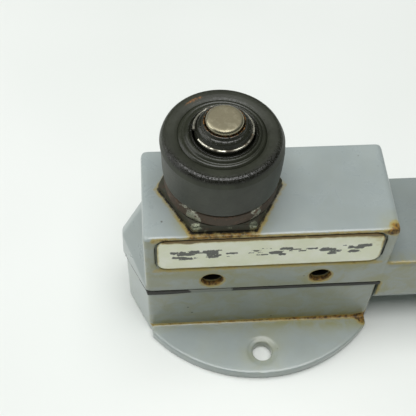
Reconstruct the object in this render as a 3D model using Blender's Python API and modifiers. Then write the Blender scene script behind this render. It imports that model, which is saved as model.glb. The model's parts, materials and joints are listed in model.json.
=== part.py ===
"""Enclosed limit switch with a sealed plunger, modelled as separate pieces in their places.

Frame: the origin is the middle of the mounting face, +X points to the conduit hub, -Y is the
nameplate side and +Z runs up along the plunger.  The sizes below are in millimetres, and MM
turns them into metres where a mesh is made.
"""
import math

import bmesh
import bpy
from mathutils import Matrix, Vector

MM = 0.001
GAP = 0.3  # left between pieces that touch on the real object

# Castings
HALF_LENGTH = 32.0  # housing, along X
HALF_DEPTH = 14.0  # housing and hub, along Y
BASE_INSET = 0.7  # the base casting is this much smaller all round
END_APEX = 6.0  # how far the left end's V stands out
CASTING_EDGE = 1.2  # outer edge radius
FLANGE_EDGE = 0.8
BASE_TOP = 21.9
FLOOR = 2.6  # thickness of the base's floor
GASKET_BOTTOM, GASKET_TOP = 22.2, 23.0
HOUSING_BOTTOM, HOUSING_TOP = 23.3, 48.7
ROOF_BOTTOM = 45.6
BOW_EDGE_TOP, BOW_RIDGE_TOP = 32.0, 44.5  # left end: top of its upright edge and of its ridge
BOW_SIDE_TOP = 25.0  # where its facets meet the box's corners

# Conduit hub
HUB_START, HUB_END = 31.6, 59.0
HUB_TOP, HUB_AXIS = 32.8, 18.8
CONDUIT_RADIUS = 10.2

# Flange and mounting holes
FLANGE_TOP = 3.4
FLANGE_REACH = 30.3  # from the middle plane to the flange's edge
FLANGE_RADIUS = 40.7
FLANGE_HOLE_Y = 23.4
MOUNTING_RADIUS = 2.8
SIDE_HOLE_X, SIDE_HOLE_Z = 14.4, 28.0
SIDE_HOLE_DEPTH = 8.0
SIDE_BOSS_RADIUS = 4.1

# Nameplate
PLATE_HALF_LENGTH, PLATE_HALF_HEIGHT, PLATE_Z = 28.6, 6.3, 40.9
PLATE_THICKNESS = 0.5
RECESS_MARGIN, RECESS_DEPTH = 0.6, 0.9

# Plunger stack
AXIS_X, AXIS_Y = -12.0, 1.2
HEX_ACROSS_FLATS = 27.2
HEX_BOTTOM, HEX_TOP = 49.0, 51.8
CLAMP_BOTTOM, CLAMP_TOP = 52.1, 56.0
SHANK_RADIUS, NECK_RADIUS = 8.0, 9.0
SPRING_BORE = 6.7  # inside the shank, round the return spring
PLUNGER_RADIUS, PLUNGER_TOP = 4.45, 75.4
BOOT_RADIUS, BOOT_BOTTOM, BOOT_TOP = 14.8, 56.3, 69.1
SEAL_RADIUS = 10.9
BOOT_FLOOR = 57.8  # top of the boot's inward foot
PIN_RADIUS, PIN_BOTTOM, PIN_TOP = 2.1, 25.6, 52.0

# Basic switch inside
CASE_LEFT, CASE_RIGHT = -28.2, 20.8
CASE_FRONT, CASE_BACK = -6.2, 8.7
CASE_BOTTOM, CASE_TOP = 5.0, 23.6
CASE_HOLES_X, CASE_HOLE_Z = (-16.4, 9.0), 8.2
POCKET_BOTTOM, POCKET_TOP = 11.0, 21.9
BLADE_LEFT, BLADE_RIGHT, BLADE_Z = -22.5, 14.0, 16.4
CONTACT_X = 16.3
STRIP = 0.9  # terminal strip thickness
STRIP_Z = 8.7  # underside of the lower terminal strips

# Fixings
COVER_SCREWS = ((-32.2, 0.0), (25.4, -9.8), (25.4, 9.8))
POST_RADIUS = 3.6
COVER_SCREW_RADIUS, COVER_HOLE_RADIUS = 1.6, 1.95
SCREW_END = 33.8  # height of the cover screws' tips
HEAD_RADIUS, HEAD_HOLE_RADIUS, HEAD_HOLE_DEPTH = 2.9, 3.3, 2.2
BRACKET_SCREWS = ((-24.4, 6.4), (17.3, 6.4))
GROUND_X = 16.0


def clear_scene():
    for item in list(bpy.data.objects):
        bpy.data.objects.remove(item, do_unlink=True)


def new_collection(name):
    made = bpy.data.collections.new(name)
    bpy.context.scene.collection.children.link(made)
    return made


clear_scene()
PARTS = new_collection("limit_switch")
CUTTERS = new_collection("cutters")


def new_material(name, colour, roughness, metallic=0.0):
    made = bpy.data.materials.new(name)
    made.use_nodes = True
    shader = made.node_tree.nodes["Principled BSDF"]
    shader.inputs["Base Color"].default_value = (*colour, 1.0)
    shader.inputs["Roughness"].default_value = roughness
    shader.inputs["Metallic"].default_value = metallic
    made.diffuse_color = (*colour, 1.0)
    return made


GREY_PAINT = new_material("grey_paint", (0.32, 0.36, 0.36), 0.35)
CREAM_PLATE = new_material("cream_plate", (0.72, 0.66, 0.48), 0.4)
RUBBER = new_material("black_rubber", (0.03, 0.032, 0.03), 0.6)
CORK = new_material("gasket_rubber", (0.05, 0.045, 0.04), 0.8)
STEEL = new_material("plated_steel", (0.55, 0.54, 0.5), 0.3, 1.0)
RUSTY_STEEL = new_material("rusty_steel", (0.2, 0.12, 0.07), 0.6, 0.6)
SPRING_STEEL = new_material("spring_steel", (0.5, 0.5, 0.5), 0.25, 1.0)
BRASS = new_material("brass", (0.75, 0.55, 0.25), 0.3, 1.0)
SILVER = new_material("contact_silver", (0.85, 0.85, 0.83), 0.2, 1.0)
PHENOLIC = new_material("phenolic", (0.06, 0.035, 0.025), 0.45)
RED_PLASTIC = new_material("button_plastic", (0.5, 0.06, 0.04), 0.4)
GREEN_SCREW = new_material("ground_green", (0.05, 0.3, 0.1), 0.4)
FIBRE = new_material("fibre_paper", (0.35, 0.3, 0.22), 0.8)


# ---- shapes -------------------------------------------------------------------------------

def add_object(name, mesh, material=None, location=(0.0, 0.0, 0.0)):
    item = bpy.data.objects.new(name, mesh)
    item.location = Vector(location) * MM
    PARTS.objects.link(item)
    if material:
        mesh.materials.append(material)
    return item


def as_cutter(item):
    PARTS.objects.unlink(item)
    CUTTERS.objects.link(item)
    item.hide_render = True
    item.display_type = "WIRE"


def combine(target, tool, operation):
    modifier = target.modifiers.new(operation.lower(), "BOOLEAN")
    modifier.operation = operation
    modifier.solver = "EXACT"
    modifier.object = tool
    as_cutter(tool)


def cut(target, *tools):
    for tool in tools:
        combine(target, tool, "DIFFERENCE")


def join(target, *tools):
    for tool in tools:
        combine(target, tool, "UNION")


def round_edges(item, width, segments=2):
    modifier = item.modifiers.new("edges", "BEVEL")
    modifier.width = width * MM
    modifier.segments = segments
    modifier.limit_method = "ANGLE"
    modifier.angle_limit = math.radians(35)
    modifier.use_clamp_overlap = True


def mesh_from(name, work):
    mesh = bpy.data.meshes.new(name)
    bmesh.ops.recalc_face_normals(work, faces=work.faces)
    work.to_mesh(mesh)
    work.free()
    return mesh


def box(name, low, high, material=None, origin=(0.0, 0.0, 0.0)):
    """A block between two corners, with the object's origin where it is asked for."""
    low, high, origin = Vector(low), Vector(high), Vector(origin)
    work = bmesh.new()
    bmesh.ops.create_cube(work, size=1.0)
    bmesh.ops.scale(work, vec=(high - low) * MM, verts=work.verts)
    bmesh.ops.translate(work, vec=((low + high) / 2 - origin) * MM, verts=work.verts)
    return add_object(name, mesh_from(name, work), material, origin)


def cone(name, start, end, start_radius, end_radius, material=None, segments=32):
    """A cone or, with equal radii, a cylinder from one point to another."""
    start, end = Vector(start), Vector(end)
    work = bmesh.new()
    bmesh.ops.create_cone(
        work, cap_ends=True, segments=segments, radius1=start_radius * MM,
        radius2=end_radius * MM, depth=(end - start).length * MM,
    )
    turn = (end - start).to_track_quat("Z", "Y").to_matrix()
    bmesh.ops.rotate(work, cent=(0, 0, 0), matrix=turn, verts=work.verts)
    item = add_object(name, mesh_from(name, work), material, (start + end) / 2)
    item.data.shade_smooth()
    item.data.set_sharp_from_angle(angle=math.radians(40))
    return item


def cylinder(name, start, end, radius, material=None, segments=32):
    return cone(name, start, end, radius, radius, material, segments)


def turned(name, profile, material=None, steps=36):
    """A profile of (radius, height) turned about the plunger's axis.

    The profile runs down the outer side.  It closes on itself unless both ends are on the axis.
    """
    mesh = bpy.data.meshes.new(name)
    points = [(radius * MM, 0.0, height * MM) for radius, height in profile]
    edges = [(i, i + 1) for i in range(len(points) - 1)]
    if profile[0][0] > 0.0:
        edges.append((len(points) - 1, 0))
    mesh.from_pydata(points, edges, [])
    item = add_object(name, mesh, material, (AXIS_X, AXIS_Y, 0.0))
    screw = item.modifiers.new("turn", "SCREW")
    screw.axis = "Z"
    screw.angle = 2 * math.pi
    screw.steps = screw.render_steps = steps
    screw.use_merge_vertices = True
    screw.merge_threshold = 0.00001
    screw.use_smooth_shade = True
    return item


def evaluated_mesh(item, name):
    """The object's final mesh, with its curve caps welded on."""
    bpy.context.view_layer.update()
    graph = bpy.context.evaluated_depsgraph_get()
    mesh = bpy.data.meshes.new_from_object(item.evaluated_get(graph))
    mesh.name = name
    work = bmesh.new()
    work.from_mesh(mesh)
    bmesh.ops.remove_doubles(work, verts=work.verts, dist=0.000001)
    bmesh.ops.recalc_face_normals(work, faces=work.faces)
    work.to_mesh(mesh)
    work.free()
    return mesh


def from_curve(name, curve, frame, material):
    """Replaces a curve by the mesh that it draws, so that it can be cut and joined."""
    guide = bpy.data.objects.new(name + "_outline", curve)
    guide.matrix_world = frame
    PARTS.objects.link(guide)
    mesh = evaluated_mesh(guide, name)
    mesh.materials.clear()
    item = add_object(name, mesh, material)
    item.matrix_world = frame
    bpy.data.objects.remove(guide, do_unlink=True)
    return item


UP = Matrix.Identity(3)  # outlines drawn in X and Y, thickness along Z
TO_FRONT = Matrix(((1, 0, 0), (0, 0, -1), (0, 1, 0)))  # drawn in X and Z, thickness along Y
TO_RIGHT = Matrix(((0, 0, 1), (1, 0, 0), (0, 1, 0)))  # drawn in Y and Z, thickness along X


def extruded(name, points, start, end, material=None, facing=UP):
    """A flat outline with a thickness, from start to end along the axis that it faces."""
    curve = bpy.data.curves.new(name, "CURVE")
    curve.dimensions = "2D"
    curve.fill_mode = "BOTH"
    curve.extrude = (end - start) / 2 * MM
    spline = curve.splines.new("POLY")
    spline.points.add(len(points) - 1)
    for point, (across, along) in zip(spline.points, points):
        point.co = (across * MM, along * MM, 0.0, 1.0)
    spline.use_cyclic_u = True
    middle = (start + end) / 2
    sign = -1.0 if facing is TO_FRONT else 1.0
    offset = facing @ Vector((0.0, 0.0, sign * middle))
    frame = Matrix.Translation(offset * MM) @ facing.to_4x4()
    return from_curve(name, curve, frame, material)


def arc(centre, radius, first, last, count):
    """Points on a circle between two angles in degrees, both ends included."""
    angles = [math.radians(first + (last - first) * i / count) for i in range(count + 1)]
    return [(centre[0] + radius * math.cos(a), centre[1] + radius * math.sin(a)) for a in angles]


def rounded_rectangle(left, right, low, high, radius, count=4):
    corners = (
        (right - radius, high - radius, 0), (left + radius, high - radius, 90),
        (left + radius, low + radius, 180), (right - radius, low + radius, 270),
    )
    points = []
    for x, y, first in corners:
        points += arc((x, y), radius, first, first + 90, count)
    return points


def rounded_outline(points, radius, count=3):
    """The same closed outline with each corner replaced by an arc that touches both sides."""
    rounded = []
    for i, corner in enumerate(points):
        before, here, after = (Vector(points[i - 1]), Vector(corner),
                               Vector(points[(i + 1) % len(points)]))
        back, ahead = (before - here).normalized(), (after - here).normalized()
        half_angle = back.angle(ahead) / 2
        middle = here + (back + ahead).normalized() * radius / math.sin(half_angle)
        start = here + back * radius / math.tan(half_angle) - middle
        end = here + ahead * radius / math.tan(half_angle) - middle
        for step in range(count + 1):
            spoke = start.lerp(end, step / count).normalized() * radius
            rounded.append(tuple(middle + spoke))
    return rounded


def coil(name, radius, wire, low, high, turns, material):
    """An open coil spring of round wire with its ends closed by caps."""
    curve = bpy.data.curves.new(name, "CURVE")
    curve.dimensions = "3D"
    curve.bevel_depth = wire * MM
    curve.bevel_resolution = 2
    curve.use_fill_caps = True
    count = turns * 10
    spline = curve.splines.new("POLY")
    spline.points.add(count)
    for i, point in enumerate(spline.points):
        angle = 2 * math.pi * turns * i / count
        height = low + wire + (high - low - 2 * wire) * i / count
        point.co = (radius * math.cos(angle) * MM, radius * math.sin(angle) * MM, height * MM, 1)
    return from_curve(name, curve, Matrix.Translation((AXIS_X * MM, AXIS_Y * MM, 0)), material)


def screw_fastener(name, head, tip, head_height, head_radius, shank_radius, material):
    """A screw from the top of its head to its tip, made as one turned solid."""
    head, tip = Vector(head), Vector(tip)
    length = (tip - head).length
    work = bmesh.new()
    profile = ((0, 0), (head_radius, 0), (head_radius, -head_height),
               (shank_radius, -head_height), (shank_radius, -length), (0, -length))
    ring = [work.verts.new((r * MM, 0, z * MM)) for r, z in profile]
    edges = [work.edges.new(pair) for pair in zip(ring, ring[1:])]
    bmesh.ops.spin(
        work, geom=ring + edges, cent=(0, 0, 0), axis=(0, 0, 1), angle=2 * math.pi,
        steps=16, use_merge=True,
    )
    bmesh.ops.remove_doubles(work, verts=work.verts, dist=0.000001)
    turn = (head - tip).to_track_quat("Z", "Y").to_matrix()
    bmesh.ops.rotate(work, cent=(0, 0, 0), matrix=turn, verts=work.verts)
    return add_object(name, mesh_from(name, work), material, head)


# ---- castings -----------------------------------------------------------------------------

def v_ended_outline(inset=0.0):
    """Plan of the castings: square at the hub end and coming to a blunt V at the other."""
    right, left = HALF_LENGTH - inset, -HALF_LENGTH + inset
    depth = HALF_DEPTH - inset * 0.5
    apex = left - END_APEX + inset * 0.3
    return [(right, -depth), (right, depth), (left, depth), (apex, 1.5), (apex, -1.5), (left, -depth)]


def make_housing():
    outline = [(HALF_LENGTH, -HALF_DEPTH), (HALF_LENGTH, HALF_DEPTH), (-HALF_LENGTH, HALF_DEPTH),
               (-HALF_LENGTH, -HALF_DEPTH)]
    body = extruded("housing", outline, HOUSING_BOTTOM - 3, HOUSING_TOP, GREY_PAINT)
    round_edges(body, CASTING_EDGE)
    join(body, make_bow())
    cut(body, box("housing_joint", (-50, -20, HOUSING_BOTTOM - 5), (50, 20, HOUSING_BOTTOM)))
    hub_outline = arc((0.0, HUB_AXIS), HALF_DEPTH, 180, 360, 16)
    hub_outline += [(HALF_DEPTH, HUB_TOP), (-HALF_DEPTH, HUB_TOP)]
    hub = extruded("hub", hub_outline, HUB_START, HUB_END, facing=TO_RIGHT)
    round_edges(hub, CASTING_EDGE)
    join(body, hub)

    cavity = rounded_rectangle(-29.4, 29.4, -11.5, 11.5, 2.5)
    cut(body, extruded("housing_cavity", cavity, HOUSING_BOTTOM - 5, ROOF_BOTTOM))
    for x, y in COVER_SCREWS[1:]:
        join(body, cylinder("screw_post", (x, y, HOUSING_BOTTOM), (x, y, ROOF_BOTTOM + 1), POST_RADIUS))
    for x in (-SIDE_HOLE_X, SIDE_HOLE_X):
        for side in (-1, 1):
            outer, inner = side * (HALF_DEPTH - 1), side * 4.8
            join(body, cylinder("side_boss", (x, outer, SIDE_HOLE_Z), (x, inner, SIDE_HOLE_Z),
                                SIDE_BOSS_RADIUS))
    join(body, cylinder("ground_boss", (GROUND_X, 0, 41), (GROUND_X, 0, ROOF_BOTTOM + 1), 4.0))

    cut_housing_holes(body)
    return body


def make_bow():
    """The left end: two facets that meet in an upright edge and a ridge rising to the box."""
    low = HOUSING_BOTTOM - 3
    wall, apex = -HALF_LENGTH, -HALF_LENGTH - END_APEX
    side = HALF_DEPTH - 0.6
    points = []
    for sign in (-1, 1):
        points += [(apex, sign * 1.2, low), (apex + 0.3, sign * 1.0, BOW_EDGE_TOP),
                   (wall, sign * 1.0, BOW_RIDGE_TOP)]
        for x in (wall, wall + 1.5):
            points += [(x, sign * side, low), (x, sign * side, BOW_SIDE_TOP)]
        points.append((wall + 1.5, sign * 1.0, BOW_RIDGE_TOP))
    work = bmesh.new()
    for point in points:
        work.verts.new(Vector(point) * MM)
    bmesh.ops.convex_hull(work, input=work.verts)
    loose = [vert for vert in work.verts if not vert.link_faces]
    bmesh.ops.delete(work, geom=loose, context="VERTS")
    bmesh.ops.dissolve_limit(work, angle_limit=0.01, verts=work.verts, edges=work.edges)
    return add_object("bow", mesh_from("bow", work))


def cut_housing_holes(body):
    cut(body, cylinder("conduit_bore", (29.05, 0, HUB_AXIS), (HUB_END + 1, 0, HUB_AXIS),
                       CONDUIT_RADIUS, segments=32))
    cut(body, cone("conduit_chamfer", (HUB_END - 0.8, 0, HUB_AXIS), (HUB_END + 0.4, 0, HUB_AXIS),
                   CONDUIT_RADIUS - 0.2, CONDUIT_RADIUS + 1.0, segments=32))
    for x in (-SIDE_HOLE_X, SIDE_HOLE_X):
        for side in (-1, 1):
            face, bottom = side * HALF_DEPTH, side * (HALF_DEPTH - SIDE_HOLE_DEPTH)
            cut(body, cylinder("side_hole", (x, face + side, SIDE_HOLE_Z), (x, bottom, SIDE_HOLE_Z),
                               MOUNTING_RADIUS, segments=20))
            cut(body, cone("side_chamfer", (x, face + side * 0.2, SIDE_HOLE_Z),
                           (x, face - side * 0.6, SIDE_HOLE_Z),
                           MOUNTING_RADIUS + 0.6, MOUNTING_RADIUS - 0.2, segments=20))
    for x, y in COVER_SCREWS:
        cut(body, cylinder("cover_thread", (x, y, HOUSING_BOTTOM - 1), (x, y, 34.6),
                           COVER_HOLE_RADIUS, segments=20))
    cut(body, cylinder("ground_thread", (GROUND_X, 0, 40), (GROUND_X, 0, 45), 1.7, segments=20))
    cut(body, cylinder("bushing_hole", (AXIS_X, AXIS_Y, ROOF_BOTTOM - 1),
                       (AXIS_X, AXIS_Y, HOUSING_TOP + 1), SHANK_RADIUS + GAP, segments=36))
    cut(body, cylinder("seal_seat", (AXIS_X, AXIS_Y, HOUSING_TOP - 0.9),
                       (AXIS_X, AXIS_Y, HOUSING_TOP + 1), SEAL_RADIUS + GAP, segments=36))
    half_length = PLATE_HALF_LENGTH + RECESS_MARGIN
    half_height = PLATE_HALF_HEIGHT + RECESS_MARGIN
    recess = rounded_rectangle(-half_length, half_length, PLATE_Z - half_height,
                               PLATE_Z + half_height, 3.0)
    cut(body, extruded("plate_recess", recess, -HALF_DEPTH - 1, -HALF_DEPTH + RECESS_DEPTH,
                       facing=TO_FRONT))


def flange_outline(half_length):
    """Two shallow arcs, one to the front and one to the back, joined by straight ends."""
    centre_y = FLANGE_RADIUS - FLANGE_REACH
    spread = math.degrees(math.asin(half_length / FLANGE_RADIUS))
    front = arc((0.0, centre_y), FLANGE_RADIUS, 270 - spread, 270 + spread, 20)
    back = arc((0.0, -centre_y), FLANGE_RADIUS, 90 - spread, 90 + spread, 20)
    return front + back


def make_base():
    outline = rounded_outline(v_ended_outline(BASE_INSET), CASTING_EDGE)
    body = extruded("base_cover", outline, -3.0, BASE_TOP, GREY_PAINT)
    flange = extruded("flange", flange_outline(HALF_LENGTH - BASE_INSET - 0.5), -4.0, FLANGE_TOP)
    round_edges(flange, FLANGE_EDGE)
    join(body, flange)
    cut(body, box("mounting_plane", (-50, -50, -6), (50, 50, 0)))

    cavity = rounded_rectangle(-28.7, 28.9, -11.4, 11.4, 2.5)
    cut(body, extruded("base_cavity", cavity, FLOOR, BASE_TOP + 5))
    for x, y in COVER_SCREWS[1:]:
        join(body, cylinder("base_post", (x, y, FLOOR - 1), (x, y, BASE_TOP), POST_RADIUS))
    for x, y in BRACKET_SCREWS:
        join(body, cylinder("bracket_boss", (x, y, FLOOR - 1), (x, y, 3.5), 4.0))

    cut(body, cylinder("conduit_passage", (29.05, 0, HUB_AXIS), (34, 0, HUB_AXIS),
                       CONDUIT_RADIUS - 0.3, segments=32))
    for x, y in COVER_SCREWS:
        cut(body, cylinder("cover_hole", (x, y, -1), (x, y, BASE_TOP + 1), COVER_HOLE_RADIUS,
                           segments=20))
        cut(body, cylinder("cover_head", (x, y, -1), (x, y, HEAD_HOLE_DEPTH), HEAD_HOLE_RADIUS,
                           segments=24))
    for x, y in BRACKET_SCREWS:
        cut(body, cylinder("bracket_hole", (x, y, -1), (x, y, 5), 1.6, segments=20))
        cut(body, cylinder("bracket_head", (x, y, -1), (x, y, 2.0), 2.7, segments=20))
    for side in (-1, 1):
        y = side * FLANGE_HOLE_Y
        cut(body, cylinder("flange_hole", (0, y, -1), (0, y, FLANGE_TOP + 1), MOUNTING_RADIUS,
                           segments=20))
        cut(body, cylinder("flange_spotface", (0, y, FLANGE_TOP - 0.3), (0, y, FLANGE_TOP + 1),
                           MOUNTING_RADIUS + 1.5, segments=20))
    return body


def make_gasket():
    gasket = extruded("housing_gasket", v_ended_outline(BASE_INSET - 0.3), GASKET_BOTTOM, GASKET_TOP,
                      CORK)
    opening = rounded_rectangle(-28.7, 28.9, -11.4, 11.4, 2.5)
    cut(gasket, extruded("gasket_opening", opening, GASKET_BOTTOM - 1, GASKET_TOP + 1))
    left_x, left_y = COVER_SCREWS[0]
    cut(gasket, cylinder("gasket_hole", (left_x, left_y, GASKET_BOTTOM - 1),
                         (left_x, left_y, GASKET_TOP + 1), COVER_HOLE_RADIUS, segments=20))


def make_nameplate():
    outline = rounded_rectangle(-PLATE_HALF_LENGTH, PLATE_HALF_LENGTH, PLATE_Z - PLATE_HALF_HEIGHT,
                                PLATE_Z + PLATE_HALF_HEIGHT, 2.7)
    back = -HALF_DEPTH + RECESS_DEPTH - GAP
    extruded("nameplate", outline, back - PLATE_THICKNESS, back, CREAM_PLATE, TO_FRONT)


# ---- plunger stack ------------------------------------------------------------------------

def hexagon(across_flats):
    """A hexagon round the plunger's axis, with flat sides towards the front and back."""
    return arc((AXIS_X, AXIS_Y), across_flats / math.sqrt(3), 0, 300, 5)


def make_bushing():
    """The threaded bushing: a hexagon outside, a shank through the roof, a neck in the boot."""
    bushing = extruded("plunger_bushing", hexagon(HEX_ACROSS_FLATS), HEX_BOTTOM, HEX_TOP,
                       RUSTY_STEEL)
    corner = HEX_ACROSS_FLATS / math.sqrt(3)
    chamfer = turned("hex_chamfer", (
        (0, HEX_TOP), (corner - 1.6, HEX_TOP), (corner + 0.1, HEX_TOP - 1.0),
        (corner + 0.1, HEX_BOTTOM - 1), (0, HEX_BOTTOM - 1)))
    combine(bushing, chamfer, "INTERSECT")
    join(bushing, turned("bushing_barrel", (
        (0, 62.0), (NECK_RADIUS, 62.0), (NECK_RADIUS, CLAMP_TOP), (11.5, CLAMP_TOP), (11.5, HEX_TOP - 1.0),
        (SHANK_RADIUS, HEX_TOP - 1.0), (SHANK_RADIUS, 39.0), (0, 39.0))))
    cut(bushing, turned("bushing_bore", (
        (0, 63.0), (PLUNGER_RADIUS + GAP, 63.0), (PLUNGER_RADIUS + GAP, 57.8), (SPRING_BORE, 57.8),
        (SPRING_BORE, 38.0), (0, 38.0))))


def make_bushing_fixings():
    turned("bushing_seal", ((SEAL_RADIUS, 48.6), (SEAL_RADIUS, 48.1), (8.8, 48.1), (8.8, 48.6)), CORK,
           steps=28)
    nut = extruded("bushing_locknut", hexagon(20.0), 41.6, 45.2, STEEL)
    cut(nut, cylinder("locknut_thread", (AXIS_X, AXIS_Y, 41), (AXIS_X, AXIS_Y, 46),
                      SHANK_RADIUS + GAP, segments=32))
    turned("boot_clamp_ring", (
        (13.8, CLAMP_TOP), (14.2, CLAMP_TOP - 0.4), (14.2, CLAMP_BOTTOM + 0.4), (13.8, CLAMP_BOTTOM),
        (11.8, CLAMP_BOTTOM), (11.8, CLAMP_TOP)), RUSTY_STEEL, steps=48)


def make_boot():
    turned("boot", (
        (14.1, BOOT_TOP), (14.6, 68.9), (BOOT_RADIUS, 68.4), (BOOT_RADIUS, BOOT_BOTTOM),
        (9.3, BOOT_BOTTOM), (9.3, BOOT_FLOOR), (12.4, BOOT_FLOOR), (12.1, 68.5), (12.4, BOOT_TOP)),
        RUBBER, steps=48)
    turned("boot_bellows", (
        (7.3, 71.0), (7.9, 70.8), (8.3, 69.0), (9.0, 70.1), (9.6, 70.1), (10.2, 68.0),
        (10.8, BOOT_TOP), (11.3, BOOT_TOP), (11.7, 68.2), (11.7, BOOT_FLOOR + GAP),
        (10.6, BOOT_FLOOR + GAP), (10.6, 65.9), (9.0, 66.7), (7.3, 66.7)), RUBBER)
    turned("boot_collar", (
        (6.2, 71.9), (6.2, 71.15), (7.0, 71.15), (7.0, 67.7), (4.8, 67.7), (4.8, 71.9)),
        RUBBER)


def make_snap_ring():
    """A wire ring round the boot's neck, open for a short way at the front left."""
    ring = turned("snap_ring", ((7.2, 72.2), (7.35, 72.0), (7.35, 71.5), (6.55, 71.5), (6.55, 72.2)),
                  SPRING_STEEL, steps=48)
    gap = box("snap_ring_gap", (5, -0.5, 71), (9, 0.5, 73))
    turn = Matrix.Rotation(math.radians(228), 4, "Z")
    gap.matrix_world = Matrix.Translation((AXIS_X * MM, AXIS_Y * MM, 0)) @ turn
    cut(ring, gap)


def make_plunger():
    turned("plunger", (
        (0, PLUNGER_TOP), (3.9, PLUNGER_TOP), (4.3, PLUNGER_TOP - 0.2), (PLUNGER_RADIUS, PLUNGER_TOP - 0.6),
        (PLUNGER_RADIUS, 57.3), (6.4, 57.3), (6.4, 55.8), (PLUNGER_RADIUS, 55.8),
        (PLUNGER_RADIUS, 50.0), (2.4, 50.0), (2.4, 50.6), (3.2, 50.6), (3.2, 62.0), (0, 62.0)),
        STEEL)
    turned("drive_pin", (
        (0, PIN_TOP), (2.85, PIN_TOP), (2.85, 50.9), (PIN_RADIUS, 50.9), (PIN_RADIUS, PIN_BOTTOM),
        (0, PIN_BOTTOM)), BRASS, steps=20)
    turned("spring_retainer", ((6.4, 42.5), (6.4, 40.5), (2.45, 40.5), (2.45, 42.5)), STEEL, steps=24)
    turned("retainer_clip", ((6.4, 40.1), (6.4, 39.4), (5.0, 39.4), (5.0, 40.1)), SPRING_STEEL,
           steps=24)
    coil("return_spring", 5.9, 0.45, 42.9, 55.4, 5, SPRING_STEEL)
    coil("overtravel_spring", 2.4, 0.35, 52.4, 61.6, 5, SPRING_STEEL)


# ---- basic switch -------------------------------------------------------------------------

def make_switch_case():
    case = box("switch_case", (CASE_LEFT, CASE_FRONT, CASE_BOTTOM), (CASE_RIGHT, CASE_BACK, CASE_TOP),
               PHENOLIC)
    cut(case, box("pocket", (-25.6, CASE_FRONT - 1, POCKET_BOTTOM), (18.6, 6.0, POCKET_TOP)))
    cut(case, box("common_recess", (-40, -20, 0), (-20.6, 20, STRIP_Z + STRIP + GAP)))
    cut(case, box("normally_open_recess", (13.0, -20, 0), (40, 20, STRIP_Z + STRIP + GAP)))
    cut(case, box("common_slot", (-24.2, CASE_FRONT - 1, 6), (-22.6, 4.5, POCKET_BOTTOM + 1)))
    cut(case, box("normally_open_slot", (13.1, CASE_FRONT - 1, 6), (14.6, 4.5, POCKET_BOTTOM + 1)))
    cut(case, box("normally_closed_slot", (17, CASE_FRONT - 1, 19.2), (22, 3.5, 20.7)))
    cut(case, cylinder("button_hole", (AXIS_X, AXIS_Y, 20), (AXIS_X, AXIS_Y, 25), 2.1, segments=24))
    for x in CASE_HOLES_X:
        cut(case, cylinder("case_hole", (x, -12, CASE_HOLE_Z), (x, 12, CASE_HOLE_Z), 2.1, segments=24))

    cover = box("switch_cover", (CASE_LEFT, -8.7, 10.2), (CASE_RIGHT, CASE_FRONT - GAP, CASE_TOP),
                PHENOLIC)
    skirt = box("cover_skirt", (-20.3, -8.7, CASE_BOTTOM), (12.7, CASE_FRONT - GAP, 11.0))
    join(cover, skirt)
    for x in CASE_HOLES_X:
        cut(cover, cylinder("cover_plate_hole", (x, -12, CASE_HOLE_Z), (x, 0, CASE_HOLE_Z), 2.1,
                            segments=24))


def make_switch_motion():
    """The button presses the blade, whose free end carries the moving contact."""
    turned("switch_button", (
        (0, 25.25), (1.5, 25.25), (1.7, 25.05), (1.7, 20.6), (2.9, 20.6), (2.9, 19.4), (1.7, 19.4),
        (1.7, 17.2), (0, 17.2)), RED_PLASTIC, steps=20)
    hinge = (BLADE_LEFT, 0.0, BLADE_Z)
    box("snap_blade", (BLADE_LEFT, -3.0, BLADE_Z), (BLADE_RIGHT, 3.0, BLADE_Z + 0.4), BRASS, hinge)
    cylinder("moving_contact", (CONTACT_X, 0, 15.6), (CONTACT_X, 0, 17.5), 1.9, SILVER, 24)


def terminal(name, lower, upright, upper, hole):
    """A bent strip: a plate for the screw, an upright and, where it has one, an upper tab."""
    strip = box(name, lower[0], lower[1], BRASS)
    for i, part in enumerate((upright, upper)):
        if part:
            join(strip, box(f"{name}_bend_{i}", part[0], part[1]))
    x, low, high = hole
    cut(strip, cylinder(name + "_hole", (x, 0, low), (x, 0, high), 1.9, segments=20))


def make_terminals():
    top = STRIP_Z + STRIP
    terminal("common_terminal",
             ((-27.9, -4.0, STRIP_Z), (-22.9, 4.0, top)),
             ((-23.8, -4.0, STRIP_Z), (-22.9, 4.0, 16.8)), None, (-25.9, STRIP_Z - 1, top + 1))
    terminal("normally_open_terminal",
             ((13.4, -4.0, STRIP_Z), (20.4, 4.0, top)),
             ((13.4, -4.0, STRIP_Z), (14.3, 4.0, 13.3)),
             ((13.4, -4.0, 12.4), (18.2, 4.0, 13.3)), (17.6, STRIP_Z - 1, top + 1))
    terminal("normally_closed_terminal",
             ((14.2, -3.0, 19.5), (28.2, 3.0, 20.4)), None, None, (25.2, 18, 22))
    cylinder("normally_open_contact", (CONTACT_X, 0, 13.6), (CONTACT_X, 0, 14.2), 1.7, SILVER, 24)
    cylinder("normally_closed_contact", (CONTACT_X, 0, 17.85), (CONTACT_X, 0, 19.2), 1.7, SILVER, 24)


def make_bracket():
    bracket = box("switch_bracket", (-27.6, 9.0, 3.8), (20.4, 10.3, 13.0), STEEL)
    for x, y in BRACKET_SCREWS:
        join(bracket, box("bracket_foot", (x - 3.1, 4.3, 3.8), (x + 3.1, 9.5, 5.0)))
    for x in CASE_HOLES_X:
        cut(bracket, cylinder("bracket_thread", (x, 8, CASE_HOLE_Z), (x, 12, CASE_HOLE_Z), 2.1,
                              segments=24))
    for x, y in BRACKET_SCREWS:
        cut(bracket, cylinder("foot_thread", (x, y, 3), (x, y, 6), 1.6, segments=20))
    liner = rounded_rectangle(-19.8, 12.4, -8.0, 8.0, 1.0, 2)
    extruded("insulating_liner", liner, 3.0, 3.6, FIBRE)


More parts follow.
